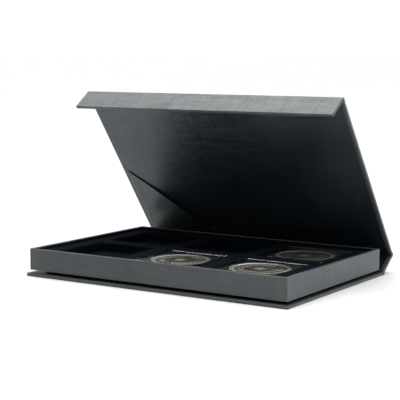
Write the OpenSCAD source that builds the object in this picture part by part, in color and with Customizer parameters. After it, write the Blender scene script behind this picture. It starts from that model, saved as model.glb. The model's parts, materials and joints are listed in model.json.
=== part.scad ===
// Book-style coin case: a wrapped board cover with a magnetic flap, and a tray with six
// square compartments for 50 mm coin capsules. Millimetres, +Z up, +Y towards the spine.
// The origin is the middle of the tray, on the underside of the case.

/* [Pose] */
// How far the cover stands open, measured from closed (degrees)
open_angle = 53.5; // [0:0.5:90]
// How far the flap stands out from a right angle to the lid (degrees)
flap_splay = 2; // [0:0.5:10]

/* [Cover] */
// Thickness of the grey board in each cover panel
board_t = 1.7; // [1.2:0.1:2.5]
// Thickness of the embossed wrapping paper
paper_t = 0.3; // [0.2:0.05:0.4]
// Width of wrap that shows around each inside liner
lip_w = 2.2; // [1:0.1:6]
// Corner radius of the cover panels
panel_r = 1.0; // [0.6:0.1:2]
// How far the base stands out past each side of the tray
side_ledge = 1.6; // [0.5:0.1:4]
// How far the base stands out in front of the tray
front_ledge = 2.3; // [1:0.1:4]
// Gap between the back of the tray and the inside of the spine
spine_gap = 3.6; // [2.5:0.1:6]
// Play between a board's edge and the fold line
fold_play = 0.15; // [0.1:0.05:0.4]
// Gap between the tray's rim and the closed lid
lid_gap = 0.15; // [0.1:0.05:0.5]
// Gap between the front of the tray and the closed flap
flap_gap = 0.5; // [0.2:0.1:1]

/* [Tray] */
// Outer width of the tray
tray_w = 210.4; // [208:0.2:230]
// Outer depth of the tray
tray_d = 139; // [136:0.5:160]
// Height of the tray's outside wall
tray_h = 15.4; // [14:0.1:20]
// Corner radius of the tray
tray_r = 1.2; // [0.8:0.1:3]
// Thickness of the tray's board walls
wall_t = 1.9; // [1.2:0.1:2.4]
// Thickness of the tray's floor board
floor_t = 1.8; // [1:0.1:2.4]
// Height of the pad that joins the tray to the base
pad_h = 2.1; // [1:0.1:4]
// How far the pad is set in from the tray's edge
pad_inset = 8; // [4:0.5:20]
// How far the wrap is turned in over the rim
turn_in = 3.9; // [2.5:0.1:6]

/* [Insert] */
// Side of each square compartment
cell = 50.6; // [50.4:0.1:51]
// Width of the bars between compartments, along X
bar_x = 13.5; // [8:0.5:14]
// Width of the bars between compartments, along Y
bar_y = 13.7; // [8:0.1:18]
// Corner radius of each compartment
cell_r = 1.6; // [0.8:0.1:3]
// Depth of each compartment
cell_depth = 6.5; // [5:0.1:7]
// How far the insert sits below the rim
insert_drop = 2.2; // [1.8:0.1:3]
// Thickness of the insert's border, which lines the tray's walls
border_t = 0.5; // [0.3:0.1:0.8]
// How far the border stops short of the rim
border_drop = 0.5; // [0.3:0.1:1.5]

/* [Capsule] */
// Side of the square capsule
cap_w = 50; // [49.5:0.1:50.2]
// Height of the closed capsule
cap_h = 6.5; // [6:0.1:6.9]
// Thickness of the capsule's clear plates
cap_plate = 1.4; // [1:0.1:1.5]
// Thickness of the capsule's outside wall
cap_wall = 1.3; // [0.8:0.1:1.5]
// Thickness of the skirt under the capsule's lid
cap_skirt = 0.9; // [0.6:0.1:1]
// Width of the raised border round the capsule's lid
cap_border = 1.4; // [1:0.1:3]
// Height of that border over the window
cap_recess = 0.5; // [0.2:0.1:0.6]
// Corner radius of the capsule
cap_r = 1.4; // [1.2:0.1:2]
// Diameter of the coin
coin_d = 42; // [30:0.5:43]
// Thickness of the coin
coin_t = 3.2; // [2:0.1:3.4]
// Height of the coin's raised rim over its field
coin_rim = 0.35; // [0.1:0.05:0.5]

/* [Pocket] */
// Length of the pocket's side along the spine
pocket_w = 62; // [30:0.5:90]
// Length of the pocket's side up the lid
pocket_h = 57.5; // [30:0.5:90]
// Distance from the spine fold to the pocket's lower side
pocket_up = 9.3; // [9.2:0.1:30]
// Distance from the lid's left edge to the pocket
pocket_in = 5.0; // [4.9:0.1:20]
// Room between the lid and the pocket's sheet
pocket_room = 1.0; // [0.4:0.1:1.2]
// Thickness of the pocket's sheet
sheet_t = 0.4; // [0.3:0.05:0.5]
// Width of the pocket's glued margins
gusset_w = 3; // [2:0.5:6]

/* [Magnets] */
// Diameter of each magnet and of the plate it holds to
magnet_d = 10; // [6:0.5:12]
// Thickness of the flap's magnets
magnet_t = 1.5; // [1:0.1:1.5]
// Thickness of the steel plates in the tray's front wall
plate_t = 1.2; // [0.6:0.1:1.5]
// Distance of each magnet from the middle of the case
magnet_x = 60; // [20:1:90]
// Height of the magnets above the table when the case is closed
magnet_z = 11; // [9.6:0.1:13]

/* [Hidden] */
panel_t = board_t + 2 * paper_t;
case_w = tray_w + 2 * side_ledge;
tray_z = panel_t + pad_h;
rim_z = tray_z + tray_h;
skin = wall_t + 2 * paper_t;
inner_w = tray_w - 2 * skin;
inner_d = tray_d - 2 * skin;
insert_play = 0.1;
insert_top = rim_z - insert_drop;
cell_z = insert_top - cell_depth;
pitch_x = cell + bar_x;
pitch_y = cell + bar_y;

// Fold lines of the closed case, as [y, z]
spine_y = tray_d / 2 + spine_gap;
lid_z = rim_z + lid_gap;
flap_y = -tray_d / 2 - flap_gap;
spine_fold = [spine_y, panel_t];
lid_fold = [spine_y, lid_z];
flap_fold = [flap_y, lid_z];
base_front = -tray_d / 2 - front_ledge;

// Board panels, fold to fold, less the play at each fold
base_len = spine_y - fold_play - base_front;
spine_len = lid_z - panel_t - 2 * fold_play;
lid_len = spine_y - flap_y - 2 * fold_play;
flap_len = lid_z - panel_t - 2 * fold_play;
crease_r = panel_t - 0.1;
crease_play = 4;

// Capsule, measured up from its own underside
cap_joint = 0.1;
cap_fit = 0.15;
cap_in = cap_w - 2 * cap_wall;
skirt_out = cap_in - 2 * cap_fit;
skirt_in = skirt_out - 2 * cap_skirt;
skirt_z = cap_plate + 0.4;
cap_split = cap_h - cap_plate;
inlay_w = skirt_in - 0.3;
inlay_t = coin_t + 0.1;
inlay_hole = coin_d + 0.4;
coin_bevel = 0.3;
coin_rim_w = 1.5;

// Where the three capsules stand, in compartments counted from the middle
SPOTS = [["front_middle", 0, -1], ["front_right", 1, -1], ["back_right", 1, 1]];
CASE_NODES = ["base_board", "base_wrap", "base_liner", "mounting_pad", "tray_floor", "tray_front_wall",
    "tray_back_wall", "tray_left_wall", "tray_right_wall", "tray_wrap", "tray_plates", "insert_pad",
    "insert_grid", "spine_board", "spine_wrap", "spine_liner", "spine_crease", "lid_board", "lid_wrap",
    "lid_liner", "lid_crease", "pocket_sheet", "pocket_side_gusset", "pocket_lower_gusset", "flap_board",
    "flap_wrap", "flap_liner", "flap_crease", "flap_magnets"];
CAPSULE_NODES = ["capsule_base", "capsule_lid", "capsule_inlay", "coin"];

$fn = 64;
cut = 1;

// Outlines -----------------------------------------------------------------

// A rectangle with round corners, centred on x and starting at y = 0
module outline(l, w, r) {
    translate([-l / 2 + r, 0]) square([l - 2 * r, w]);
    translate([-l / 2, r]) square([l, w - 2 * r]);
    for (x = [-l / 2 + r, l / 2 - r]) for (y = [r, w - r]) translate([x, y]) circle(r);
}

module slab(l, w, r, z0, z1) {
    translate([0, 0, z0]) linear_extrude(z1 - z0) outline(l, w, r);
}

// The same block, centred on y as well
module block(l, w, r, z0, z1) {
    translate([0, -w / 2, 0]) slab(l, w, r, z0, z1);
}

// A sector of a round bar along X, from angle a to angle b in the YZ plane
module sector_bar(l, r, a, b) {
    mid = (a + b) / 2;
    reach = 2 * r;
    rotate([90, 0, 90]) translate([0, 0, -l / 2]) linear_extrude(l) intersection() {
        circle(r);
        polygon([[0, 0], reach * [cos(a), sin(a)], reach * [cos(mid), sin(mid)],
            reach * [cos(b), sin(b)]]);
    }
}

// Panels, with the outside face on z = 0 and the length along y -------------

module panel_board(len) {
    translate([0, paper_t, 0])
        slab(case_w - 2 * paper_t, len - 2 * paper_t, panel_r - paper_t, paper_t, paper_t + board_t);
}

module panel_wrap(len) {
    difference() {
        slab(case_w, len, panel_r, 0, panel_t);
        panel_board(len);
        translate([0, lip_w, 0])
            slab(case_w - 2 * lip_w, len - 2 * lip_w, panel_r, paper_t + board_t / 2, panel_t + cut);
    }
}

module panel_liner(len) {
    translate([0, lip_w, 0])
        slab(case_w - 2 * lip_w, len - 2 * lip_w, panel_r, paper_t + board_t, panel_t);
}

// Places of the panels ------------------------------------------------------

module turn_about(fold, angle) {
    translate([0, fold[0], fold[1]]) rotate([-angle, 0, 0]) translate([0, -fold[0], -fold[1]])
        children();
}

module at_base() {
    translate([0, base_front, 0]) children();
}

module with_spine() {
    turn_about(spine_fold, open_angle) children();
}

module with_flap() {
    with_spine() turn_about(flap_fold, flap_splay) children();
}

module at_spine() {
    with_spine() translate([0, spine_y + panel_t, panel_t + fold_play]) rotate([90, 0, 0]) children();
}

module at_lid() {
    with_spine() translate([0, flap_y + fold_play, lid_z + panel_t]) mirror([0, 0, 1]) children();
}

module at_flap() {
    with_flap() translate([0, flap_y - panel_t, panel_t + fold_play]) mirror([0, 1, 0])
        rotate([90, 0, 0]) children();
}

// Cover ----------------------------------------------------------------------

module base_board() { color("dimgray") at_base() panel_board(base_len); }
module base_wrap() { color("darkslategray") at_base() panel_wrap(base_len); }
module base_liner() { color("black") at_base() panel_liner(base_len); }
module spine_board() { color("dimgray") at_spine() panel_board(spine_len); }
module spine_wrap() { color("darkslategray") at_spine() panel_wrap(spine_len); }
module spine_liner() { color("black") at_spine() panel_liner(spine_len); }
module lid_board() { color("dimgray") at_lid() panel_board(lid_len); }
module lid_wrap() { color("darkslategray") at_lid() panel_wrap(lid_len); }
module lid_liner() { color("black") at_lid() panel_liner(lid_len); }
module flap_wrap() { color("darkslategray") at_flap() panel_wrap(flap_len); }
module flap_liner() { color("black") at_flap() panel_liner(flap_len); }

module flap_board() {
    color("dimgray") difference() {
        at_flap() panel_board(flap_len);
        with_flap() magnet_pair(flap_y - panel_t, magnet_d + 0.2, panel_t);
    }
}

// Folds: solid strips of paper and glue that bend with the joints
module spine_crease() {
    color("darkslategray") translate([0, spine_fold[0], spine_fold[1]])
        sector_bar(case_w, crease_r, -90 + crease_play, -open_angle - crease_play);
}

module lid_crease() {
    color("darkslategray") with_spine() translate([0, lid_fold[0], lid_fold[1]])
        sector_bar(case_w, crease_r, crease_play, 90 - crease_play);
}

module flap_crease() {
    color("darkslategray") with_spine() translate([0, flap_fold[0], flap_fold[1]])
        sector_bar(case_w, crease_r, 90 + crease_play, 180 - flap_splay - crease_play);
}

// Two discs along Y, on either side of the middle, from y0 towards the tray
module magnet_pair(y0, d, t) {
    for (x = [-magnet_x, magnet_x]) translate([x, y0 + t, magnet_z]) rotate([90, 0, 0])
        cylinder(d = d, h = t);
}

module flap_magnets() {
    color("silver") with_flap() magnet_pair(flap_y - panel_t + paper_t + 0.1, magnet_d, magnet_t);
}

// Pocket: a flat triangular sheet on two glued margins ------------------------

module pocket_corner() {
    with_spine() translate([-case_w / 2 + pocket_in, spine_y - pocket_up, lid_z]) mirror([0, 0, 1])
        mirror([0, 1, 0]) children();
}

module pocket_sheet() {
    color("black") pocket_corner() translate([0, 0, pocket_room]) linear_extrude(sheet_t)
        polygon([[0, 0], [pocket_w, 0], [0, pocket_h]]);
}

module pocket_side_gusset() {
    color("black") pocket_corner() linear_extrude(pocket_room)
        polygon([[0, gusset_w], [gusset_w, gusset_w], [gusset_w, pocket_h * (1 - gusset_w / pocket_w)],
                 [0, pocket_h]]);
}

module pocket_lower_gusset() {
    color("black") pocket_corner() linear_extrude(pocket_room)
        polygon([[0, 0], [pocket_w, 0], [pocket_w * (1 - gusset_w / pocket_h), gusset_w], [0, gusset_w]]);
}

// Tray -------------------------------------------------------------------------

module mounting_pad() {
    color("black") block(tray_w - 2 * pad_inset, tray_d - 2 * pad_inset, tray_r, panel_t, tray_z);
}

module tray_floor() {
    color("dimgray") block(tray_w - 2 * (wall_t + paper_t), tray_d - 2 * (wall_t + paper_t), tray_r,
        tray_z, tray_z + floor_t);
}

// A long wall along X, whose outer face is at y = 0
module long_wall() {
    translate([-tray_w / 2 + paper_t, 0, tray_z]) cube([tray_w - 2 * paper_t, wall_t, tray_h - paper_t]);
}

module tray_front_wall() {
    color("dimgray") difference() {
        translate([0, -tray_d / 2 + paper_t, 0]) intersection() {
            long_wall();
            slab(tray_w - 2 * paper_t, tray_d, tray_r - paper_t, 0, rim_z);
        }
        magnet_pair(-tray_d / 2 + paper_t - cut, magnet_d + 0.2, plate_t + 0.1 + cut);
    }
}

module tray_back_wall() {
    color("dimgray") mirror([0, 1, 0]) translate([0, -tray_d / 2 + paper_t, 0]) intersection() {
        long_wall();
        slab(tray_w - 2 * paper_t, tray_d, tray_r - paper_t, 0, rim_z);
    }
}

module side_wall(x) {
    len = tray_d - 2 * (paper_t + wall_t);
    translate([x, -len / 2, tray_z]) cube([wall_t, len, tray_h - paper_t]);
}

module tray_left_wall() { color("dimgray") side_wall(-tray_w / 2 + paper_t); }
module tray_right_wall() { color("dimgray") side_wall(tray_w / 2 - paper_t - wall_t); }

module tray_wrap() {
    color("darkslategray") difference() {
        block(tray_w, tray_d, tray_r, tray_z, rim_z);
        block(inner_w, inner_d, tray_r, tray_z - cut, rim_z + cut);
        difference() {
            block(tray_w - 2 * paper_t, tray_d - 2 * paper_t, tray_r - paper_t,
                  tray_z - cut, rim_z - paper_t);
            difference() {
                block(inner_w + 2 * paper_t, inner_d + 2 * paper_t, tray_r, rim_z - turn_in, rim_z);
                block(inner_w, inner_d, tray_r, tray_z, rim_z + cut);
            }
        }
    }
}

module tray_plates() {
    color("silver") magnet_pair(-tray_d / 2 + paper_t, magnet_d, plate_t);
}

// Insert ---------------------------------------------------------------------------

module insert_pad() {
    color("black") block(inner_w - 2 * insert_play, inner_d - 2 * insert_play, tray_r,
        tray_z + floor_t, cell_z);
}

module insert_grid() {
    l = inner_w - 2 * insert_play;
    w = inner_d - 2 * insert_play;
    color("midnightblue") difference() {
        block(l, w, tray_r, cell_z, rim_z - border_drop);
        block(l - 2 * border_t, w - 2 * border_t, tray_r - border_t, insert_top, rim_z);
        for (i = [-1, 0, 1]) for (j = [-1, 1]) at_cell(i, j)
            block(cell, cell, cell_r, -cut, cell_depth + insert_drop);
    }
}

module at_cell(i, j) {
    translate([i * pitch_x, j * pitch_y / 2, cell_z]) children();
}

// Capsule, with its underside on z = 0 ------------------------------------------------

module capsule_base() {
    color("lightgray") difference() {
        block(cap_w, cap_w, cap_r, 0, cap_split - cap_joint);
        block(cap_in, cap_in, cap_r, cap_plate, cap_h);
    }
}

module capsule_lid() {
    window = cap_w - 2 * cap_border;
    color("whitesmoke") {
        difference() {
            block(cap_w, cap_w, cap_r, cap_split, cap_h);
            block(window, window, cap_r, cap_h - cap_recess, cap_h + cut);
        }
        difference() {
            block(skirt_out, skirt_out, cap_r, skirt_z, cap_split);
            block(skirt_in, skirt_in, cap_r, skirt_z - cut, cap_split + cut);
        }
    }
}

module capsule_inlay() {
    color("black") difference() {
        block(inlay_w, inlay_w, cap_r, cap_plate, cap_plate + inlay_t);
        translate([0, 0, cap_plate - cut]) cylinder(d = inlay_hole, h = inlay_t + 2 * cut);
    }
}

module coin() {
    r = coin_d / 2;
    in = r - coin_rim_w;
    color("silver") translate([0, 0, cap_plate]) rotate_extrude()
        polygon([[0, coin_rim], [in, coin_rim], [in + coin_rim, 0], [r - coin_bevel, 0], [r, coin_bevel],
            [r, coin_t - coin_bevel], [r - coin_bevel, coin_t], [in + coin_rim, coin_t],
            [in, coin_t - coin_rim], [0, coin_t - coin_rim]]);
}

// Assembly ---------------------------------------------------------------------------

base_board();
base_wrap();
base_liner();
mounting_pad();
tray_floor();
tray_front_wall();
tray_back_wall();
tray_left_wall();
tray_right_wall();
tray_wrap();
tray_plates();
insert_pad();
insert_grid();
spine_board();
spine_wrap();
spine_liner();
spine_crease();
lid_board();
lid_wrap();
lid_liner();
lid_crease();
pocket_sheet();
pocket_side_gusset();
pocket_lower_gusset();
flap_board();
flap_wrap();
flap_liner();
flap_crease();
flap_magnets();
for (s = SPOTS) {
    at_cell(s[1], s[2]) capsule_base();
    at_cell(s[1], s[2]) capsule_lid();
    at_cell(s[1], s[2]) capsule_inlay();
    at_cell(s[1], s[2]) coin();
}
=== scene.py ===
"""Looks of the book-style coin case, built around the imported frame. Lengths are in metres."""
import json
import math

import bmesh
import bpy
from mathutils import Matrix, Vector


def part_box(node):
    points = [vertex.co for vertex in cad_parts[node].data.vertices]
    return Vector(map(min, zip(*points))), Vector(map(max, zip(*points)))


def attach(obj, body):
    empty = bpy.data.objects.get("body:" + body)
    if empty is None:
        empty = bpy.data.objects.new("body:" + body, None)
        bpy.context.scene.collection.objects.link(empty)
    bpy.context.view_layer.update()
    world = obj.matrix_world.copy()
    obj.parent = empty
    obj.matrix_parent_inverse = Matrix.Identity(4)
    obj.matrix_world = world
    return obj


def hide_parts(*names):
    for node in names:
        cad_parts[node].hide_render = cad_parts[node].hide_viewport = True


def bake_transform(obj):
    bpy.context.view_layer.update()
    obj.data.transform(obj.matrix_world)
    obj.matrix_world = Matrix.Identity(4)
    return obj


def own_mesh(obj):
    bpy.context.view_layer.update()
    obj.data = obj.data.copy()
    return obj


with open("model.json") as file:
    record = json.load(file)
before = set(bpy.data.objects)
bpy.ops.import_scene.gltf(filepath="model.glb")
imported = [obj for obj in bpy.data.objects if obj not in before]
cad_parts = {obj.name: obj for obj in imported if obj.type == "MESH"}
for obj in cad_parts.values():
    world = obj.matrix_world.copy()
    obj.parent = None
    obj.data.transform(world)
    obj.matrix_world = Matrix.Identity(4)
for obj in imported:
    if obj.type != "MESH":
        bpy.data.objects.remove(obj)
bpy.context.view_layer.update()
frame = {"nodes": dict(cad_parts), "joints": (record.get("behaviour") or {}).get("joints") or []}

MM = 0.001

# Sizes that follow from the frame ---------------------------------------------------

JOINTS = {joint["name"]: joint for joint in frame["joints"]}
SPINE_FOLD, LID_FOLD, FLAP_FOLD = (
    Vector(JOINTS[name]["pos_m"]) for name in ("spine_hinge", "lid_hinge", "flap_hinge"))
OPEN = math.radians(-JOINTS["spine_hinge"]["range_deg"][0])
SPLAY = math.radians(-JOINTS["flap_hinge"]["range_deg"][0])

BASE_LO, BASE_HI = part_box("base_wrap")
TRAY_LO, TRAY_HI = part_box("tray_wrap")
GRID_LO, GRID_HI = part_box("insert_grid")
PAD_LO, PAD_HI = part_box("insert_pad")
PANEL_T = BASE_HI.z
CASE_W = BASE_HI.x - BASE_LO.x
FOLD_PLAY = SPINE_FOLD.y - BASE_HI.y
PAPER = 0.3 * MM
LIP = 2.2 * MM
CORNER = 1.0 * MM
FILLET = 0.4 * MM
SPOTS = ("front_middle", "front_right", "back_right")


def about(point, angle):
    """The turn that opens the cover by an angle about a fold line along X."""
    return Matrix.Translation(point) @ Matrix.Rotation(-angle, 4, "X") @ Matrix.Translation(-point)


WITH_SPINE = about(SPINE_FOLD, OPEN)
LID_FOLD_SHUT = WITH_SPINE.inverted() @ LID_FOLD
FLAP_FOLD_SHUT = WITH_SPINE.inverted() @ FLAP_FOLD
WITH_FLAP = WITH_SPINE @ about(FLAP_FOLD_SHUT, SPLAY)

# Each panel's own frame: outside face on z = 0, length along y, z inwards
QUARTER = Matrix.Rotation(math.pi / 2, 4, "X")
AT_BASE = Matrix.Translation((0, BASE_LO.y, 0))
AT_SPINE = WITH_SPINE @ Matrix.Translation((0, SPINE_FOLD.y + PANEL_T, PANEL_T + FOLD_PLAY)) @ QUARTER
AT_LID = WITH_SPINE @ Matrix.Translation(
    (0, FLAP_FOLD_SHUT.y + FOLD_PLAY, LID_FOLD_SHUT.z + PANEL_T)) @ Matrix.Rotation(math.pi, 4, "Y")
AT_FLAP = WITH_FLAP @ Matrix.Translation(
    (0, FLAP_FOLD_SHUT.y - PANEL_T, PANEL_T + FOLD_PLAY)) @ Matrix.Rotation(math.pi, 4, "Z") @ QUARTER
BASE_LEN = BASE_HI.y - BASE_LO.y
SPINE_LEN = LID_FOLD_SHUT.z - SPINE_FOLD.z - 2 * FOLD_PLAY
LID_LEN = LID_FOLD_SHUT.y - FLAP_FOLD_SHUT.y - 2 * FOLD_PLAY
PANELS = {
    "base": ("case", AT_BASE, BASE_LEN),
    "spine": ("spine", AT_SPINE, SPINE_LEN),
    "lid": ("lid", AT_LID, LID_LEN),
    "flap": ("flap", AT_FLAP, SPINE_LEN),
}


# Mesh helpers -----------------------------------------------------------------------

def smoothstep(t):
    """Eases from 0 to 1."""
    t = min(max(t, 0.0), 1.0)
    return t * t * (3 - 2 * t)


def outline(lo, hi, r, arc=6, runs=(1, 1)):
    """A rectangle with round corners, anticlockwise, as (x, y) points. arc is the number of steps in a
    corner, and runs the number of pieces in a straight side along x and along y."""
    r = max(r, 0.02 * MM)
    left, right, front, back = lo[0] + r, hi[0] - r, lo[1] + r, hi[1] - r
    centres = ((right, back), (left, back), (left, front), (right, front))
    points = []
    for quarter, (cx, cy) in enumerate(centres):
        for step in range(arc + 1):
            angle = (quarter + step / arc) * math.pi / 2
            points.append((cx + r * math.cos(angle), cy + r * math.sin(angle)))
        nx, ny = centres[(quarter + 1) % 4]
        start = points[-1]
        turned = (quarter + 1) * math.pi / 2
        end = (nx + r * math.cos(turned), ny + r * math.sin(turned))
        splits = runs[quarter % 2]
        for step in range(1, splits):
            part = step / splits
            points.append((start[0] + (end[0] - start[0]) * part, start[1] + (end[1] - start[1]) * part))
    return points


def arc_points(centre, r, start, end, steps=4):
    """Points of an arc in a profile, angles in degrees."""
    turns = (math.radians(start + (end - start) * i / steps) for i in range(steps + 1))
    return [(centre[0] + r * math.cos(a), centre[1] + r * math.sin(a)) for a in turns]


def sweep(bm, rings, caps=(False, False), closed=False):
    """Skins a list of rings, all with the same number of points."""
    made = [[bm.verts.new(p) for p in ring] for ring in rings]
    pairs = list(zip(made, made[1:])) + ([(made[-1], made[0])] if closed else [])
    for a, b in pairs:
        for i in range(len(a)):
            j = (i + 1) % len(a)
            bm.faces.new((a[i], a[j], b[j], b[i]))
    if caps[0]:
        bm.faces.new(list(reversed(made[0])))
    if caps[1]:
        bm.faces.new(made[-1])
    return made


def rings_of(lo, hi, r, profile, arc=6, runs=(1, 1)):
    """One ring for each (inset, z) of a profile, round the rectangle lo to hi."""
    return [[Vector((x, y, z)) for x, y in outline(
        (lo[0] + inset, lo[1] + inset), (hi[0] - inset, hi[1] - inset), r - inset, arc, runs)]
        for inset, z in profile]


def finished(name, bm, material, at=None, sharp=35):
    """Turns a bmesh into a shaded object in the row frame."""
    bmesh.ops.remove_doubles(bm, verts=bm.verts, dist=1e-6)
    bmesh.ops.recalc_face_normals(bm, faces=bm.faces)
    mesh = bpy.data.meshes.new(name)
    bm.to_mesh(mesh)
    bm.free()
    if at is not None:
        mesh.transform(at)
    mesh.shade_smooth()
    mesh.set_sharp_from_angle(angle=math.radians(sharp))
    piece = bpy.data.objects.new(name, mesh)
    bpy.context.scene.collection.objects.link(piece)
    mesh.materials.append(material)
    even = piece.modifiers.new("even_shading", "WEIGHTED_NORMAL")
    even.keep_sharp = True
    return piece


def place(piece, body, nodes):
    """Rides a piece on a body, in place of CAD nodes."""
    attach(piece, body)
    if nodes:
        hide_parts(*nodes)
    return piece


# Materials --------------------------------------------------------------------------

class Nodes:
    """Short calls for building one material's nodes."""

    def __init__(self, name):
        self.material = bpy.data.materials.new(name)
        self.material.use_nodes = True
        self.tree = self.material.node_tree
        self.shader = self.tree.nodes["Principled BSDF"]

    def node(self, kind, **values):
        made = self.tree.nodes.new(kind)
        for key, value in values.items():
            setattr(made, key, value)
        return made

    def link(self, source, target):
        self.tree.links.new(source, target)

    def feed(self, socket, value):
        if isinstance(value, bpy.types.NodeSocket):
            self.link(value, socket)
        else:
            socket.default_value = value

    def set(self, **values):
        for key, value in values.items():
            self.shader.inputs[key.replace("_", " ")].default_value = value

    def place(self, scale, turn=(0, 0, 0), shift=(0, 0, 0)):
        """Object coordinates, turned and then scaled."""
        coords = self.node("ShaderNodeTexCoord").outputs["Object"]
        turned = self.node("ShaderNodeMapping", vector_type="POINT")
        turned.inputs["Rotation"].default_value = turn
        turned.inputs["Location"].default_value = shift
        self.link(coords, turned.inputs["Vector"])
        scaled = self.node("ShaderNodeMapping", vector_type="POINT")
        scaled.inputs["Scale"].default_value = scale
        self.link(turned.outputs["Vector"], scaled.inputs["Vector"])
        return scaled.outputs["Vector"]

    def noise(self, vector, scale=1.0, detail=2.0, rough=0.5):
        made = self.node("ShaderNodeTexNoise")
        self.link(vector, made.inputs["Vector"])
        made.inputs["Scale"].default_value = scale
        made.inputs["Detail"].default_value = detail
        made.inputs["Roughness"].default_value = rough
        return made.outputs["Fac"]

    def math(self, operation, a, b=0.0):
        made = self.node("ShaderNodeMath", operation=operation)
        self.feed(made.inputs[0], a)
        self.feed(made.inputs[1], b)
        return made.outputs[0]

    def remap(self, value, lo, hi, to_lo, to_hi):
        made = self.node("ShaderNodeMapRange")
        self.feed(made.inputs["Value"], value)
        for key, number in (("From Min", lo), ("From Max", hi), ("To Min", to_lo), ("To Max", to_hi)):
            made.inputs[key].default_value = number
        return made.outputs["Result"]

    def blend(self, factor, a, b):
        made = self.node("ShaderNodeMix", data_type="RGBA")
        self.feed(made.inputs["Factor"], factor)
        self.feed(made.inputs["A"], a)
        self.feed(made.inputs["B"], b)
        return made.outputs["Result"]

    def bump(self, height, distance, strength=1.0, under=None):
        made = self.node("ShaderNodeBump")
        self.link(height, made.inputs["Height"])
        made.inputs["Distance"].default_value = distance
        made.inputs["Strength"].default_value = strength
        if under is not None:
            self.link(under, made.inputs["Normal"])
        return made.outputs["Normal"]


def rgba(r, g, b):
    """An opaque colour, in linear values."""
    return (r, g, b, 1.0)


def linen(name, tilt, dark, light, rough, shine, tint, relief, spread, upright=False, edge_highlight_and_wear=False):
    """Embossed linen paper: two crossing sets of irregular threads, aligned with a tilted panel. relief is
    the strength of the embossing, a small spread makes its contrast strong, and upright is for the tray."""
    make = Nodes(name)
    turn = (tilt, 0, 0)
    along, across = 90.0, 1100.0
    weft = make.noise(make.place((along, across, across), turn), 1.0, 3.0, 0.6)
    second = (across, across, along) if upright else (across, along, along)
    warp = make.noise(make.place(second, turn, (0.013, 0.007, 0.021)), 1.0, 3.0, 0.6)
    threads = make.math("ADD", make.math("MULTIPLY", weft, 0.55), make.math("MULTIPLY", warp, 0.45))
    along, across = 40.0, 520.0
    weft = make.noise(make.place((along, across, across), turn, (0.05, 0.03, 0.01)), 1.0, 2.0, 0.5)
    second = (across, across, along) if upright else (across, along, along)
    warp = make.noise(make.place(second, turn, (0.02, 0.05, 0.04)), 1.0, 2.0, 0.5)
    coarse = make.math("ADD", make.math("MULTIPLY", weft, 0.5), make.math("MULTIPLY", warp, 0.5))
    height = make.math("ADD", make.math("MULTIPLY", threads, 0.5), make.math("MULTIPLY", coarse, 0.5))
    low, high = 0.5 - spread, 0.5 + spread
    cloud = make.noise(make.place((18, 18, 18), turn), 1.0, 3.0, 0.55)
    tone = make.math("ADD", make.math("MULTIPLY", height, 0.75), make.math("MULTIPLY", cloud, 0.25))
    woven = make.blend(make.remap(tone, low, high, 0.0, 1.0), dark, light)
    # Lightens convex edges in cloudy patches towards grey: mostly a painted highlight along the rim, with
    # some edge wear.
    if edge_highlight_and_wear:
        convex = make.node("ShaderNodeNewGeometry").outputs["Pointiness"]
        edge, patches = make.remap(convex, 0.505, 0.56, 0.0, 0.6), make.remap(cloud, 0.35, 0.6, 0.4, 1.0)
        woven = make.blend(make.math("MULTIPLY", edge, patches), woven, rgba(0.16, 0.17, 0.17))
    make.link(woven, make.shader.inputs["Base Color"])
    make.link(make.remap(height, low, high, rough + 0.1, rough - 0.1), make.shader.inputs["Roughness"])
    fine = make.bump(threads, 0.06 * MM, relief)
    make.link(make.bump(coarse, 0.12 * MM, relief, fine), make.shader.inputs["Normal"])
    make.set(Specular_IOR_Level=shine, Specular_Tint=tint)
    return make.material


def velour():
    """Near-black blue pile: mottled nap with a soft sheen."""
    make = Nodes("velour")
    nap = make.noise(make.place((60, 60, 60)), 1.0, 4.0, 0.6)
    pile = make.noise(make.place((2600, 2600, 2600)), 1.0, 2.0, 0.7)
    tone = make.math("ADD", make.math("MULTIPLY", nap, 0.6), make.math("MULTIPLY", pile, 0.4))
    dark, light = rgba(0.0022, 0.0046, 0.0078), rgba(0.0055, 0.0095, 0.015)
    colour = make.blend(make.remap(tone, 0.35, 0.65, 0.0, 1.0), dark, light)
    make.link(colour, make.shader.inputs["Base Color"])
    make.link(make.remap(nap, 0.35, 0.65, 0.85, 1.0), make.shader.inputs["Roughness"])
    make.link(make.bump(pile, 0.15 * MM, 0.8), make.shader.inputs["Normal"])
    make.set(Specular_IOR_Level=0.02)
    make.set(Sheen_Weight=0.01, Sheen_Roughness=0.35, Sheen_Tint=rgba(0.8, 0.88, 1.0))
    return make.material


def clear_plastic():
    """Moulded clear acrylic with faint flow ripples."""
    make = Nodes("clear_plastic")
    flow = make.noise(make.place((45, 70, 60)), 1.0, 2.0, 0.5)
    scuff = make.noise(make.place((900, 180, 900)), 1.0, 4.0, 0.7)
    make.link(make.remap(scuff, 0.45, 0.8, 0.0, 0.05), make.shader.inputs["Roughness"])
    tint = make.blend(make.remap(flow, 0.3, 0.7, 0.0, 1.0), rgba(0.95, 0.97, 0.98), rgba(0.99, 0.99, 0.985))
    make.link(tint, make.shader.inputs["Base Color"])
    make.link(make.bump(flow, 0.02 * MM, 0.2), make.shader.inputs["Normal"])
    make.set(Transmission_Weight=1.0, IOR=1.49, Specular_IOR_Level=0.5)
    mix = make.node("ShaderNodeMixShader")
    make.link(make.node("ShaderNodeLightPath").outputs["Is Shadow Ray"], mix.inputs["Fac"])
    make.link(make.shader.outputs["BSDF"], mix.inputs[1])
    make.link(make.node("ShaderNodeBsdfTransparent").outputs["BSDF"], mix.inputs[2])
    make.link(mix.outputs["Shader"], make.tree.nodes["Material Output"].inputs["Surface"])
    return make.material


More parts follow.
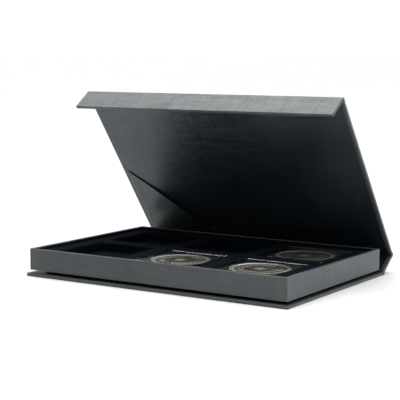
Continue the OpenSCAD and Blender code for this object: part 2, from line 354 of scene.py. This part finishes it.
def foam():
    """Closed-cell black foam, finely pitted."""
    make = Nodes("inlay_foam")
    cells = make.node("ShaderNodeTexVoronoi", feature="F1")
    make.link(make.place((2200, 2200, 2200)), cells.inputs["Vector"])
    cells.inputs["Scale"].default_value = 1.0
    pits = cells.outputs["Distance"]
    dark, light = rgba(0.006, 0.006, 0.007), rgba(0.018, 0.018, 0.02)
    colour = make.blend(make.remap(pits, 0.1, 0.8, 0.0, 1.0), dark, light)
    make.link(colour, make.shader.inputs["Base Color"])
    make.link(make.remap(pits, 0.0, 1.0, 0.95, 0.7), make.shader.inputs["Roughness"])
    make.link(make.bump(pits, 0.1 * MM, 0.6), make.shader.inputs["Normal"])
    make.set(Specular_IOR_Level=0.3)
    return make.material


def coin_metal(middle, field):
    """Struck silver: bright where it stands proud, with warm tarnish in the field. middle is the height of
    the coins' middle plane, and field that of their field over it."""
    make = Nodes("coin_metal")
    cloud = make.noise(make.place((120, 120, 120)), 1.0, 4.0, 0.6)
    grain = make.noise(make.place((3500, 3500, 3500)), 1.0, 3.0, 0.7)
    split = make.node("ShaderNodeSeparateXYZ")
    make.link(make.node("ShaderNodeTexCoord").outputs["Object"], split.inputs["Vector"])
    height = make.math("ABSOLUTE", make.math("SUBTRACT", split.outputs["Z"], middle))
    proud = make.remap(height, field + 0.04 * MM, field + 0.34 * MM, 0.0, 0.85)
    proud = make.math("ADD", proud, make.remap(cloud, 0.35, 0.65, 0.0, 0.15))
    tarnish, silver = rgba(0.12, 0.11, 0.07), rgba(0.97, 0.95, 0.87)
    make.link(make.blend(proud, tarnish, silver), make.shader.inputs["Base Color"])
    make.link(make.remap(cloud, 0.3, 0.7, 0.38, 0.5), make.shader.inputs["Roughness"])
    make.link(make.bump(grain, 0.02 * MM, 0.5), make.shader.inputs["Normal"])
    make.set(Metallic=1.0)
    return make.material


def board(name, dark, light):
    """Book board: pulp fibres and flecks."""
    make = Nodes(name)
    fibre = make.noise(make.place((300, 900, 900)), 1.0, 4.0, 0.7)
    fleck = make.noise(make.place((1500, 1500, 1500)), 1.0, 1.0, 0.5)
    tone = make.math("ADD", make.math("MULTIPLY", fibre, 0.7), make.math("MULTIPLY", fleck, 0.3))
    colour = make.blend(make.remap(tone, 0.35, 0.65, 0.0, 1.0), dark, light)
    make.link(colour, make.shader.inputs["Base Color"])
    make.link(make.remap(fibre, 0.3, 0.7, 0.95, 0.8), make.shader.inputs["Roughness"])
    make.link(make.bump(fibre, 0.08 * MM, 0.5), make.shader.inputs["Normal"])
    return make.material


def steel():
    """Nickel-plated discs with a faint turned grain."""
    make = Nodes("steel")
    grain = make.noise(make.place((200, 2500, 2500)), 1.0, 3.0, 0.6)
    colour = make.blend(make.remap(grain, 0.3, 0.7, 0.0, 1.0), rgba(0.5, 0.5, 0.49), rgba(0.66, 0.65, 0.62))
    make.link(colour, make.shader.inputs["Base Color"])
    make.link(make.remap(grain, 0.3, 0.7, 0.25, 0.4), make.shader.inputs["Roughness"])
    make.link(make.bump(grain, 0.02 * MM, 0.4), make.shader.inputs["Normal"])
    make.set(Metallic=1.0)
    return make.material


WRAP = dict(dark=rgba(0.022, 0.027, 0.030), light=rgba(0.050, 0.058, 0.063),
            tint=rgba(0.92, 0.97, 0.97), rough=0.43)
LINING = dict(dark=rgba(0.0018, 0.0038, 0.0066), light=rgba(0.0045, 0.0085, 0.0125),
              tint=rgba(0.86, 0.96, 1.0), rough=0.38)
TILTS = {"case": 0.0, "spine": OPEN, "lid": OPEN, "flap": OPEN + SPLAY}
LINEN = {body: linen("linen_" + body, tilt, shine=0.72, relief=0.6, spread=0.1, **WRAP)
         for body, tilt in TILTS.items()}
LINER = {body: linen("liner_" + body, tilt, shine=0.97, relief=0.42, spread=0.07, **LINING)
         for body, tilt in TILTS.items()}
# The tray's linen carries a painted highlight on its convex edges, partly edge wear.
LINEN_TRAY = linen("linen_tray", 0.0, shine=0.62, relief=0.5, spread=0.13, upright=True, edge_highlight_and_wear=True,
                   **WRAP)
VELOUR, CLEAR, FOAM, STEEL = velour(), clear_plastic(), foam(), steel()
COIN_LO, COIN_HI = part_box("front_middle_coin")
COIN_DIP = 0.5 * MM
COIN = coin_metal((COIN_LO.z + COIN_HI.z) / 2, (COIN_HI.z - COIN_LO.z) / 2 - COIN_DIP)
BOARD = board("grey_board", rgba(0.16, 0.155, 0.145), rgba(0.32, 0.31, 0.295))
# Near-black board for the mounting pad: painted shade, standing for the deep shadow in the gap under the
# tray.
SHADOW_GAP_BOARD = board("dyed_board", rgba(0.006, 0.0065, 0.007), rgba(0.014, 0.0145, 0.015))


# Cover ------------------------------------------------------------------------------

def panel_wrap(name, body, at, length):
    """The outside paper: a hollow tray of paper, turned in over the board by a lip."""
    top = PANEL_T - 0.12 * MM
    half = CASE_W / 2
    profile = [(FILLET * 5, 0.0), (FILLET * 2.6, 0.0), (FILLET * 1.5, 0.0)]
    profile += arc_points((FILLET, FILLET), FILLET, 270, 180)
    profile += [(0.0, FILLET * 1.6), (0.0, top - FILLET * 1.6)]
    profile += arc_points((FILLET, top - FILLET), FILLET, 180, 90)
    profile += [(LIP * 0.6, top), (LIP * 1.6, top), (LIP * 1.6, top - PAPER)]
    profile += [(PAPER, top - PAPER), (PAPER, PAPER)]
    bm = bmesh.new()
    sweep(bm, rings_of((-half, 0), (half, length), CORNER, profile, 6), (True, True))
    piece = finished(name + "_wrap_paper", bm, LINEN[body], at)
    return place(piece, body, [name + "_wrap"])


def panel_liner(name, body, at, length):
    """The inside paper, laid over the turned-in edges."""
    half = CASE_W / 2
    soft = 0.1 * MM
    profile = [(LIP + soft, PANEL_T - PAPER)]
    profile += arc_points((LIP + soft, PANEL_T - soft), soft, 180, 90, 3) + [(LIP * 2, PANEL_T)]
    bm = bmesh.new()
    sweep(bm, rings_of((-half, 0), (half, length), CORNER + LIP, profile, 4), (True, True))
    piece = finished(name + "_liner_paper", bm, LINER[body], at)
    return place(piece, body, [name + "_liner"])


def bar_along_x(bm, profile, width, splits=24):
    """Skins a closed (y, z) profile along the case's width, with capped ends."""
    rings = []
    for step in range(splits + 1):
        x = -width / 2 + width * step / splits
        rings.append([Vector((x, y, z)) for y, z in profile])
    sweep(bm, rings, (True, True))


def crease(name, node, bodies, fold, along, out, square, material):
    """The paper over one fold: a skin round the outside of the corner, and one across its inside.
    along and out give, for each of the two panels, the way along it from the fold and the way outwards.
    A square of 2 makes the outer corner round, and a larger one makes it squarer."""
    wing, lift, sink, near, base = 1.3 * MM, 0.03 * MM, 0.2 * MM, 0.5 * MM, 0.1 * MM
    r = PANEL_T + lift
    start = math.atan2(out[0].z, out[0].y)
    sweep_angle = (math.atan2(out[1].z, out[1].y) - start + math.pi) % (2 * math.pi) - math.pi
    outer = [fold + out[0] * (PANEL_T - lift) + along[0] * wing, fold + out[0] * r + along[0] * wing * 0.9]
    steps = 12
    for step in range(steps + 1):
        part = step / steps
        angle = start + sweep_angle * part
        corner = abs(math.cos(part * math.pi / 2)) ** square + abs(math.sin(part * math.pi / 2)) ** square
        bulge = corner ** (-1 / square)
        outer.append(fold + Vector((0, math.cos(angle), math.sin(angle))) * r * bulge)
    outer += [fold + out[1] * r + along[1] * wing * 0.9, fold + out[1] * (PANEL_T - lift) + along[1] * wing]
    inner = [fold + out[1] * (PANEL_T - sink) + along[1] * wing * 0.8, fold + out[1] * (PANEL_T - sink)]
    inner += [fold + out[1] * base, fold + out[0] * base]
    inner += [fold + out[0] * (PANEL_T - sink), fold + out[0] * (PANEL_T - sink) + along[0] * wing * 0.8]
    bm = bmesh.new()
    bar_along_x(bm, [(p.y, max(p.z, 0.0)) for p in outer + inner], CASE_W - 0.04 * MM)
    skin = finished(name, bm, material, sharp=50)
    first, second = fold + out[0] * r, fold + out[1] * r
    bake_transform(skin)
    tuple(first)
    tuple(second)
    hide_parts(node)
    reach, thick = 2.6 * MM, 0.12 * MM
    edge, throat = 0.02 * MM, 0.06 * MM
    upper = [fold + along[0] * reach - out[0] * edge, fold + along[0] * reach * 0.9 - out[0] * thick,
             fold + along[0] * near - out[0] * thick]
    upper += [fold - (out[0] + out[1]) * thick * 1.2]
    upper += [fold + along[1] * near - out[1] * thick, fold + along[1] * reach * 0.9 - out[1] * thick,
              fold + along[1] * reach - out[1] * edge]
    lower = [fold + along[1] * near + out[1] * base, fold + (out[0] + out[1]) * throat,
             fold + along[0] * near + out[0] * base]
    bm = bmesh.new()
    bar_along_x(bm, [(p.y, p.z) for p in upper + lower], CASE_W - 2 * LIP)
    gutter = finished(name + "_gutter", bm, LINER[bodies[0]], sharp=50)
    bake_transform(gutter)


def direction(matrix, y, z):
    """The unit vector that a matrix makes of (0, y, z)."""
    return (matrix.to_3x3() @ Vector((0, y, z))).normalized()


def build_cover():
    """The four panels and the three folds between them."""
    for name, (body, at, length) in PANELS.items():
        panel_wrap(name, body, at, length)
        panel_liner(name, body, at, length)
    down, back, front, up = (0, -1), (1, 0), (-1, 0), (0, 1)
    still = Matrix.Identity(4)
    crease("spine_crease_paper", "spine_crease", ("case", "spine"), SPINE_FOLD,
           (direction(still, *front), direction(WITH_SPINE, *up)),
           (direction(still, *down), direction(WITH_SPINE, *back)), 2.0, LINEN["case"])
    crease("lid_crease_paper", "lid_crease", ("spine", "lid"), LID_FOLD,
           (direction(WITH_SPINE, *down), direction(WITH_SPINE, *front)),
           (direction(WITH_SPINE, *back), direction(WITH_SPINE, *up)), 4.0, LINEN["spine"])
    crease("flap_crease_paper", "flap_crease", ("lid", "flap"), FLAP_FOLD,
           (direction(WITH_SPINE, *back), direction(WITH_FLAP, *down)),
           (direction(WITH_SPINE, *up), direction(WITH_FLAP, *front)), 4.0, LINEN["lid"])


# Pocket -----------------------------------------------------------------------------

def pocket_frame():
    """The pocket's sides along and up the lid, and a map from (along, up, off the lid) to the row frame."""
    mesh = frame["nodes"]["pocket_sheet"].data
    shut = WITH_SPINE.inverted()
    points = [shut @ v.co for v in mesh.vertices]
    left, right = min(p.x for p in points), max(p.x for p in points)
    rear, tip = max(p.y for p in points), min(p.y for p in points)
    corner = Vector((left, rear, LID_FOLD_SHUT.z))

    def at(u, v, off):
        return WITH_SPINE @ (corner + Vector((u, -v, -off)))

    return right - left, rear - tip, at


def build_pocket():
    """The bowed sheet with its two flat margins, and the folds that stand it off the lid."""
    wide, tall, at = pocket_frame()
    edge_lift, mouth_lift, thick = 0.4 * MM, 3.4 * MM, 0.3 * MM

    def lift(u, v):
        """How far the sheet stands off the lid: little at its left side, most in the mouth's lower half."""
        bow = (u / wide) ** 1.3 * (1 - 0.6 * smoothstep((u / wide - 0.55) / 0.45))
        return edge_lift + mouth_lift * bow * (u / wide + v / tall) ** 2

    count = 36
    bm = bmesh.new()
    layers = []
    for side in (0.0, thick):
        layer = {}
        for i in range(count + 1):
            for j in range(count + 1 - i):
                u, v = wide * i / count, tall * j / count
                layer[i, j] = bm.verts.new(at(u, v, lift(u, v) + side))
        for i in range(count):
            for j in range(count - i):
                bm.faces.new((layer[i, j], layer[i + 1, j], layer[i, j + 1]))
                if i + j < count - 1:
                    bm.faces.new((layer[i + 1, j], layer[i + 1, j + 1], layer[i, j + 1]))
        layers.append(layer)
    steps = range(count)
    rim = [(i, 0) for i in steps] + [(count - k, k) for k in steps] + [(0, count - k) for k in steps]
    for a, b in zip(rim, rim[1:] + rim[:1]):
        bm.faces.new((layers[0][a], layers[0][b], layers[1][b], layers[1][a]))

    def up_side(part, out):
        return out, tall * (1 - out / wide) * part

    def along_bottom(part, out):
        return wide * (1 - out / tall) * part, out

    flat = 0.1 * MM
    tip = [(-2.35 * MM, 0.0, flat), (-2.4 * MM, 0.0, flat / 2)]
    side_margin = [(0.0, edge_lift, edge_lift + thick), (-0.4 * MM, 0.15 * MM, 0.38 * MM)]
    side_margin += [(-0.8 * MM, 0.0, flat), (-1.6 * MM, 0.0, flat)] + tip
    lower_margin = [(0.3 * MM, 0.0, flat), (-1.2 * MM, 0.0, flat)] + tip
    parts = [step / 24 for step in range(25)]
    for margin, spot in ((side_margin, up_side), (lower_margin, along_bottom)):
        rings = []
        for part in parts:
            low = [at(*spot(part, out), under) for out, under, _ in margin]
            high = [at(*spot(part, out), over) for out, _, over in reversed(margin)]
            rings.append(low + high)
        sweep(bm, rings, (True, True))
    sheet = finished("pocket_paper", bm, LINER["lid"], sharp=50)
    gussets = []
    width, gap = 2.4 * MM, 0.02 * MM
    for name, along in (("pocket_side_fold", False), ("pocket_lower_fold", True)):
        bm = bmesh.new()
        rings = []
        side, other = (wide, tall) if along else (tall, wide)
        for part in parts:
            run = side * 0.985 * part
            near = min(width, other * (1 - run / side) - 0.2 * MM)
            spots = [(run, 0.05 * MM), (run, near)] if along else [(0.05 * MM, run), (near, run)]
            low = [at(*spot, 0.01 * MM) for spot in spots]
            high = [at(*spot, max(lift(*spot) - gap, gap)) for spot in reversed(spots)]
            rings.append(low + high)
        sweep(bm, rings, (True, True))
        gussets.append(finished(name, bm, LINER["lid"], sharp=40))
    anchor = at(0, 0, 0)
    for piece, node in zip([sheet] + gussets, ("pocket_sheet", "pocket_side_gusset", "pocket_lower_gusset")):
        place(piece, "lid", [node])
        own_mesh(piece)
        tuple(anchor)


# Tray -------------------------------------------------------------------------------

def with_seams(ring, lo, hi, at, width, depth):
    """Adds a small groove near each end of the long sides, where the wrap of the short side laps over."""
    made = []
    for a, b in zip(ring, ring[1:] + ring[:1]):
        made.append(a)
        if abs(a.y - b.y) > 1e-9:
            continue
        outward = -1 if a.y < 0 else 1
        run = 1 if b.x > a.x else -1
        left, right = sorted((a.x, b.x))
        for x in (lo[0] + at, hi[0] - at):
            if left + width < x < right - width:
                for step, dip in ((-width, 0.0), (0.0, depth), (width, 0.0)):
                    made.append(Vector((x + step * run, a.y - outward * dip, a.z)))
    return made


def build_tray():
    """The tray's wrap: one sheet round the outside, over the rim and down the inside."""
    fillet = 0.45 * MM
    wall = 2.5 * MM
    low, high = TRAY_LO.z, TRAY_HI.z
    turn_in = 3.9 * MM
    profile = [(PAPER, low), (0.06 * MM, low), (0.0, low + 0.1 * MM), (0.0, low + 0.4 * MM)]
    profile += [(0.0, low + 0.9 * MM), (0.0, high - 1.3 * MM), (0.0, high - fillet - 0.2 * MM)]
    profile += arc_points((fillet, high - fillet), fillet, 180, 90)
    profile += arc_points((wall - fillet, high - fillet), fillet, 90, 0)
    profile += [(wall, high - turn_in), (wall - PAPER, high - turn_in), (wall - PAPER, high - PAPER)]
    profile += [(PAPER, high - PAPER)]
    bm = bmesh.new()
    corner, inner_corner = 0.6 * MM, 0.35 * MM
    seam_at, seam_w, seam_d = 1.1 * MM, 0.22 * MM, 0.2 * MM
    rings = []
    for inset, z in profile:
        lo = (TRAY_LO.x + inset, TRAY_LO.y + inset)
        hi = (TRAY_HI.x - inset, TRAY_HI.y - inset)
        points = outline(lo, hi, max(corner - inset, inner_corner), 6, (30, 20))
        depth = seam_d if inset < wall / 2 and z < high - fillet / 2 else 0.0
        rings.append(with_seams([Vector((x, y, z)) for x, y in points], lo, hi, seam_at, seam_w, depth))
    sweep(bm, rings, closed=True)
    place(finished("tray_wrap_paper", bm, LINEN_TRAY), "case", ["tray_wrap"])


# Insert -----------------------------------------------------------------------------

CELL = 50.6 * MM
CELL_R = 1.6 * MM


def cells():
    """The compartments' pitch along x and y and their centres, from where the capsules stand."""
    centre = {}
    for spot in SPOTS:
        lo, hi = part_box(spot + "_capsule_base")
        centre[spot] = (lo + hi) / 2
    pitch_x = centre["front_right"].x - centre["front_middle"].x
    half_pitch = centre["back_right"].y
    return pitch_x, 2 * half_pitch, [(i * pitch_x, j * half_pitch) for i in (-1, 0, 1) for j in (-1, 1)]


def tile_outline(half_x, half_y, arc, runs):
    """As many points as outline() gives, round a rectangle with sharp corners."""
    reach = 6 * MM
    points = []
    for x, y in outline((-half_x, -half_y), (half_x, half_y), reach, arc, runs):
        cx, cy = math.copysign(half_x - reach, x), math.copysign(half_y - reach, y)
        dx, dy = x - cx, y - cy
        if abs(x) > abs(cx) - 1e-9 and abs(y) > abs(cy) - 1e-9:
            grow = reach / max(abs(dx), abs(dy))
            x, y = cx + dx * grow, cy + dy * grow
        points.append((x, y))
    return points


def build_insert():
    """Velour over foam: soft shoulders round each compartment, and a thin border up the tray's walls."""
    pitch_x, pitch_y, centres = cells()
    arc, runs = 8, (14, 14)
    top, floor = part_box("front_middle_capsule_lid")[1].z, GRID_LO.z
    shoulder = 1.1 * MM
    half = CELL / 2
    wall = [(0.0, floor), (0.0, (floor + top) / 2)]
    wall += [(x, z) for x, z in arc_points((shoulder, top - shoulder), shoulder, 180, 90, 6)]
    bm = bmesh.new()
    for cx, cy in centres:
        outer = tile_outline(pitch_x / 2, pitch_y / 2, arc, runs)
        rings = [[Vector((cx + x, cy + y, floor)) for x, y in outer]]
        for grow, z in wall:
            edge = half + grow
            hole = outline((-edge, -edge), (edge, edge), CELL_R + grow, arc, runs)
            rings.append([Vector((cx + x, cy + y, z)) for x, y in hole])
        last = rings[-1]
        for part in (0.4, 1.0):
            rings.append([Vector((a.x + (cx + b[0] - a.x) * part, a.y + (cy + b[1] - a.y) * part, top))
                          for a, b in zip(last, outer)])
        sweep(bm, rings)
    bmesh.ops.remove_doubles(bm, verts=bm.verts, dist=1e-6)
    span_x, span_y = 1.5 * pitch_x, pitch_y
    rim = {v for e in bm.edges if e.is_boundary for v in e.verts if v.co.z > (floor + top) / 2}
    rim = sorted(rim, key=lambda v: math.atan2(v.co.y, v.co.x))
    unit = [(v.co.x / span_x, v.co.y / span_y) for v in rim]
    border = 0.5 * MM
    skirt = [(0.0, top), (border + 0.6 * MM, top), (border + 0.15 * MM, top + 0.05 * MM)]
    skirt += [(border, top + 0.3 * MM)]
    skirt += arc_points((border / 2, GRID_HI.z - border / 2), border / 2, 0, 180, 6)
    skirt += [(0.0, (floor + top) / 2), (0.0, floor)]
    rings = []
    for index, (inset, z) in enumerate(skirt):
        wide, deep = (span_x, span_y) if index == 0 else (GRID_HI.x - inset, GRID_HI.y - inset)
        rings.append([Vector((u * wide, w * deep, z)) for u, w in unit])
    rings.append([Vector((u * span_x, w * span_y, floor)) for u, w in unit])
    sweep(bm, rings)
    piece = finished("insert_velour_grid", bm, VELOUR, sharp=60)
    place(piece, "case", ["insert_grid"])


def build_insert_pad():
    """The velour pad that floors every compartment, with a softly rounded upper edge."""
    soft = 0.8 * MM
    profile = [(1.5 * MM, PAD_LO.z), (0.3 * MM, PAD_LO.z), (0.0, PAD_LO.z + 0.3 * MM)]
    profile += arc_points((soft, PAD_HI.z - soft), soft, 180, 90, 4)
    bm = bmesh.new()
    runs = (72, 48)
    rings = rings_of((PAD_LO.x, PAD_LO.y), (PAD_HI.x, PAD_HI.y), 1.0 * MM, profile, 3, runs)
    made = sweep(bm, rings, (True, False))
    rim = made[-1]
    top = bm.faces.new(rim)
    bmesh.ops.triangulate(bm, faces=[top])
    bm.faces.ensure_lookup_table()
    piece = finished("insert_velour_pad", bm, VELOUR, sharp=60)
    place(piece, "case", ["insert_pad"])


# Capsules and coins -----------------------------------------------------------------

def ring_stack(bm, centre, profile, corner, caps, arc=8):
    """Sweeps square rings: each (half width, z) of a profile about a centre."""
    rings = []
    for half, z in profile:
        inset = max(p[0] for p in profile) - half
        points = outline((-half, -half), (half, half), max(corner - inset, 0.3 * MM), arc)
        rings.append([Vector((centre.x + x, centre.y + y, z)) for x, y in points])
    return sweep(bm, rings, caps)


def capsule_base(spot):
    """The lower half: a square plate with an upright wall."""
    lo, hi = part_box(spot + "_capsule_base")
    centre, half = (lo + hi) / 2, (hi.x - lo.x) / 2
    wall, plate = 1.3 * MM, 1.4 * MM
    soft, lip = 0.35 * MM, 0.15 * MM
    profile = [(half - x, z) for x, z in
               [(1.2 * MM, lo.z)] + arc_points((soft, lo.z + soft), soft, 270, 180, 4)
               + arc_points((lip, hi.z - lip), lip, 180, 90, 3)
               + arc_points((wall - lip, hi.z - lip), lip, 90, 0, 3)
               + arc_points((wall + lip, lo.z + plate + lip), lip, 180, 270, 3)]
    bm = bmesh.new()
    ring_stack(bm, centre, profile, 1.4 * MM, (True, True))
    piece = finished(spot + "_capsule_tray", bm, CLEAR, sharp=50)
    place(piece, spot + "_capsule", [spot + "_capsule_base"])


def capsule_lid(spot):
    """The upper half: a window inside a raised, bevelled border, with a skirt that plugs into the base."""
    lo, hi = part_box(spot + "_capsule_lid")
    centre, half = (lo + hi) / 2, (hi.x - lo.x) / 2
    plate, soft, lip = 1.4 * MM, 0.45 * MM, 0.12 * MM
    skirt_out, skirt_in = 1.45 * MM, 2.35 * MM
    under = hi.z - plate
    recess, border = 0.5 * MM, 1.4 * MM
    window = hi.z - recess
    profile = [(half - x, z) for x, z in
               [(border + 0.5 * MM, window), (border + 0.05 * MM, window),
                (border - 0.04 * MM, window + 0.03 * MM),
                (border - recess + 0.06 * MM, hi.z - 0.05 * MM), (border - recess - 0.04 * MM, hi.z)]
               + arc_points((soft, hi.z - soft), soft, 90, 180, 5)
               + arc_points((lip, under + lip), lip, 180, 270, 3)
               + [(skirt_out, under)] + arc_points((skirt_out + lip, lo.z + lip), lip, 180, 270, 3)
               + arc_points((skirt_in - lip, lo.z + lip), lip, 270, 360, 3)
               + [(skirt_in, under - lip), (skirt_in + lip, under)]]
    bm = bmesh.new()
    ring_stack(bm, centre, profile, 1.4 * MM, (True, True))
    piece = finished(spot + "_capsule_cover", bm, CLEAR, sharp=50)
    place(piece, spot + "_capsule_lid", [spot + "_capsule_lid"])


def inlay(spot):
    """The square foam ring that centres the coin."""
    lo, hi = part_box(spot + "_capsule_inlay")
    centre, half, hole, soft = (lo + hi) / 2, (hi.x - lo.x) / 2, 21.2 * MM, 0.3 * MM
    square = outline((-half, -half), (half, half), 0.8 * MM, 8, (16, 16))
    turns = [math.atan2(y, x) for x, y in square]

    def ring(share, z):
        """share 0 is the square's own line, 1 the hole's."""
        rows = []
        for (x, y), turn in zip(square, turns):
            rows.append(Vector((centre.x + x + (hole * math.cos(turn) - x) * share,
                                centre.y + y + (hole * math.sin(turn) - y) * share, z)))
        return rows

    rings = [ring(0.05, lo.z), ring(0.0, lo.z + soft), ring(0.0, hi.z - soft), ring(0.05, hi.z - soft * 0.3),
             ring(0.12, hi.z), ring(0.88, hi.z), ring(0.97, hi.z - soft * 0.3), ring(1.0, hi.z - soft),
             ring(1.0, lo.z + soft), ring(0.95, lo.z)]
    bm = bmesh.new()
    sweep(bm, rings, closed=True)
    piece = finished(spot + "_foam_ring", bm, FOAM, sharp=60)
    place(piece, spot + "_capsule", [spot + "_capsule_inlay"])


def bump_of(distance, width):
    """A round bump of height 1 at distance 0, gone at width."""
    return max(0.0, 1 - (distance / width) ** 2) ** 0.5 if distance < width else 0.0


def coin_relief(r, turn):
    """Height of the coin's face above its field, in mm: a rim, a ring of beads, a wreath and a star."""
    rim = 0.48 * smoothstep((r - 19.55) / 0.35)
    beads, bead_at, bead_r = 96, 18.75, 0.56
    step = 2 * math.pi / beads
    off = (turn + step / 2) % step - step / 2
    height = 0.45 * bump_of(math.hypot(r - bead_at, off * r), bead_r)
    leaves = 22
    for row, (leaf_at, lean) in enumerate(((12.3, 0.5), (14.6, -0.5))):
        leaf = 2 * math.pi / leaves
        off = (turn + leaf * (0.5 + row * 0.5)) % leaf - leaf / 2
        if abs(((turn - math.pi / 2) + math.pi) % (2 * math.pi) - math.pi) < 0.16:
            continue
        along, aside = off * r, r - leaf_at
        a = along * math.cos(lean) + aside * math.sin(lean)
        b = -along * math.sin(lean) + aside * math.cos(lean)
        height = max(height, 0.34 * bump_of(math.hypot(a / 1.9, b / 0.8), 1.0))
    points, long, short = 8, 8.6, 3.6
    part = 2 * math.pi / points
    off = abs((turn + part / 2) % part - part / 2) / (part / 2)
    edge = 1 / ((1 - off) / long + off / short)
    if r < edge:
        height = max(height, 0.5 * min(1.0, (edge - r) / edge * 1.15))
    return max(rim, height)


def coin(spot, heading):
    """A struck coin: reeded edge, and the same relief on both faces."""
    lo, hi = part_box(spot + "_coin")
    centre = (lo + hi) / 2
    radius, half = (hi.x - lo.x) / 2, (hi.z - lo.z) / 2
    around = 384
    field = half - COIN_DIP
    spots = [0.6 * i for i in range(1, 17)] + [9.9 + 0.28 * i for i in range(24)]
    spots += [16.8, 17.5] + [18.05 + 0.14 * i for i in range(11)] + [19.65, 19.75, 19.9, 20.4]
    bm = bmesh.new()
    turns = [2 * math.pi * i / around for i in range(around)]
    relief = [[field + coin_relief(r, turn) * MM for turn in turns] for r in spots]
    rows = []

    def ring(r, heights, side):
        reach = r * MM
        return [Vector((reach * math.cos(t), reach * math.sin(t), side * z)) for t, z in zip(turns, heights)]

    for r, heights in zip(spots, relief):
        rows.append(ring(r, heights, 1))
    edge_r = 0.22 * MM
    side = arc_points((radius - edge_r, half - edge_r - 0.02 * MM), edge_r, 90, 0, 3)
    for out, z in side + [(a, -b) for a, b in reversed(side)]:
        reed = 0.05 * MM if abs(z) < half - 0.1 * MM else 0.0
        reach = [out - reed * (i % 2) for i in range(around)]
        rows.append([Vector((far * math.cos(t), far * math.sin(t), z)) for far, t in zip(reach, turns)])
    for r, heights in zip(reversed(spots), reversed(relief)):
        rows.append(ring(r, heights, -1))
    made = sweep(bm, rows)
    for inner, z in ((made[0], field + COIN_DIP), (made[-1], -field - COIN_DIP)):
        middle = bm.verts.new((0, 0, z))
        for i in range(around):
            bm.faces.new((inner[i], inner[(i + 1) % around], middle))
    at = Matrix.Translation(centre) @ Matrix.Rotation(math.radians(heading), 4, "Z")
    piece = finished(spot + "_coin_struck", bm, COIN, at, sharp=40)
    place(piece, spot + "_capsule", [spot + "_coin"])


# Materials of the CAD nodes that stay -------------------------------------------------

def dress_cad():
    """Gives each CAD node that stays in view its own material."""
    for name, node in frame["nodes"].items():
        if node.hide_render:
            continue
        node.data.materials.clear()
        metal = name in ("flap_magnets", "tray_plates")
        # The mounting pad gets the near-black board, which is painted shade in the gap under the tray.
        node.data.materials.append(STEEL if metal else SHADOW_GAP_BOARD if name == "mounting_pad" else BOARD)


# Stage ------------------------------------------------------------------------------

SKY, HORIZON = 0.15, 1.08
LIGHT_FROM = (-0.22, 0.12, 1.0)
SOFTBOX_POWER, SOFTBOX_SPREAD = 3.7, 60
PANEL_AT, PANEL_AIM = Vector((0.95, 0.1, 0.85)), Vector((0.05, 0, 0.08))
PANEL_SIZE, PANEL_POWER = 0.8, 10
EYE = Vector((0.46316, -0.73043, 0.15805))
AZIMUTH, ELEVATION, ROLL = math.radians(32.635), math.radians(6.797), math.radians(0.188)
LENS, SENSOR = 109.33, 36.0


def build_stage():
    """The pale floor, the sky, two soft lights and the camera."""
    bm = bmesh.new()
    bmesh.ops.create_circle(bm, cap_ends=True, segments=64, radius=300.0)
    make = Nodes("studio_floor")
    spread = make.noise(make.place((1.5, 1.5, 1.5)), 1.0, 2.0, 0.5)
    grey, lighter = rgba(0.755, 0.755, 0.755), rgba(0.775, 0.775, 0.775)
    make.link(make.blend(spread, grey, lighter), make.shader.inputs["Base Color"])
    make.set(Roughness=0.9, Specular_IOR_Level=0.2)
    floor = finished("studio_floor", bm, make.material, Matrix.Translation((0, 0, -0.02 * MM)))
    world = bpy.data.worlds.new("studio")
    world.use_nodes = True
    tree = world.node_tree
    coords = tree.nodes.new("ShaderNodeTexCoord")
    split = tree.nodes.new("ShaderNodeSeparateXYZ")
    tree.links.new(coords.outputs["Generated"], split.inputs["Vector"])
    fade = tree.nodes.new("ShaderNodeMapRange")
    fade.interpolation_type = "SMOOTHSTEP"
    for key, number in (("From Min", 0.05), ("From Max", 0.3), ("To Min", HORIZON), ("To Max", SKY)):
        fade.inputs[key].default_value = number
    tree.links.new(split.outputs["Z"], fade.inputs["Value"])
    tree.links.new(fade.outputs["Result"], tree.nodes["Background"].inputs["Strength"])
    tree.nodes["Background"].inputs["Color"].default_value = rgba(1, 1, 1)
    bpy.context.scene.world = world
    data = bpy.data.lights.new("softbox", "SUN")
    data.energy, data.angle = SOFTBOX_POWER, math.radians(SOFTBOX_SPREAD)
    softbox = bpy.data.objects.new("softbox", data)
    softbox.rotation_mode = "QUATERNION"
    softbox.rotation_quaternion = Vector(LIGHT_FROM).to_track_quat("Z", "Y")
    bpy.context.scene.collection.objects.link(softbox)
    data = bpy.data.lights.new("side_panel", "AREA")
    data.shape, data.size, data.size_y, data.energy = "RECTANGLE", PANEL_SIZE, PANEL_SIZE, PANEL_POWER
    panel = bpy.data.objects.new("side_panel", data)
    panel.location = PANEL_AT
    panel.rotation_mode = "QUATERNION"
    panel.rotation_quaternion = (PANEL_AT - PANEL_AIM).to_track_quat("Z", "Y")
    bpy.context.scene.collection.objects.link(panel)
    scene = bpy.context.scene
    scene.view_settings.view_transform = "Standard"
    ahead = Vector((-math.sin(AZIMUTH) * math.cos(ELEVATION), math.cos(AZIMUTH) * math.cos(ELEVATION),
                    -math.sin(ELEVATION)))
    level = ahead.cross(Vector((0, 0, 1))).normalized()
    upright = level.cross(ahead)
    across = level * math.cos(ROLL) + upright * math.sin(ROLL)
    over = upright * math.cos(ROLL) - level * math.sin(ROLL)
    data = bpy.data.cameras.new("camera")
    data.sensor_width, data.lens = SENSOR, LENS
    data.clip_start, data.clip_end = 0.05, 100.0
    camera = bpy.data.objects.new("camera", data)
    camera.location = EYE
    camera.rotation_mode = "QUATERNION"
    camera.rotation_quaternion = Matrix((across, over, -ahead)).transposed().to_quaternion()
    scene.collection.objects.link(camera)
    scene.camera = camera


build_cover()
build_pocket()
build_tray()
build_insert()
build_insert_pad()
for place_name, heading in zip(SPOTS, (12, -28, 40)):
    capsule_base(place_name)
    capsule_lid(place_name)
    inlay(place_name)
    coin(place_name, heading)
dress_cad()
build_stage()
